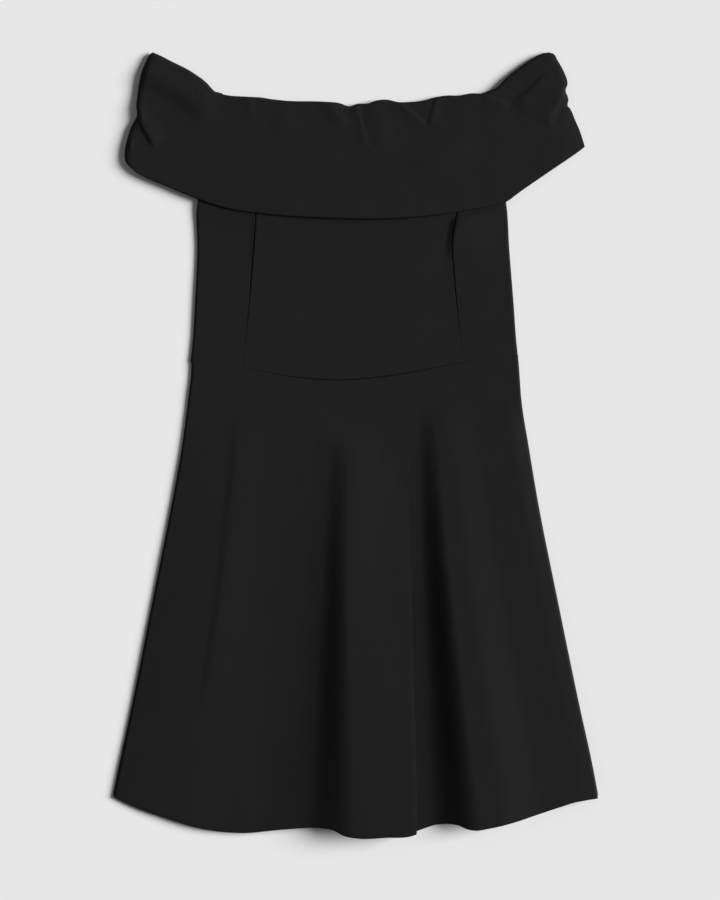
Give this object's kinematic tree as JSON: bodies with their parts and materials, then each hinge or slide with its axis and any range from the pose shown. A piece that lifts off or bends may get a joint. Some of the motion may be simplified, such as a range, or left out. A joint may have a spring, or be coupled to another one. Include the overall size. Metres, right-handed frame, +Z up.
{
  "type": "off-shoulder dress",
  "caption": "Short flared dress laid flat, with a fold-over off-shoulder collar, a fitted panelled bodice and soft skirt flutes.",
  "frame": {"origin": "middle of the dress, seen from above, on the surface it lies on", "axes": "+Z up from the surface, +Y towards the neckline, +X to the right as the front is seen from above"},
  "size_m": [0.5099, 0.8241, 0.0269],
  "materials": {
    "crepe": "matt black stretch crepe"
  },
  "bodies": {
    "root": {"skirt_back": "crepe", "skirt_front": "crepe", "bodice_back": "crepe", "bodice_centre_front": "crepe", "bodice_side_left": "crepe", "bodice_side_right": "crepe", "collar_back": "crepe", "collar_front": "crepe"}
  },
  "joints": []
}
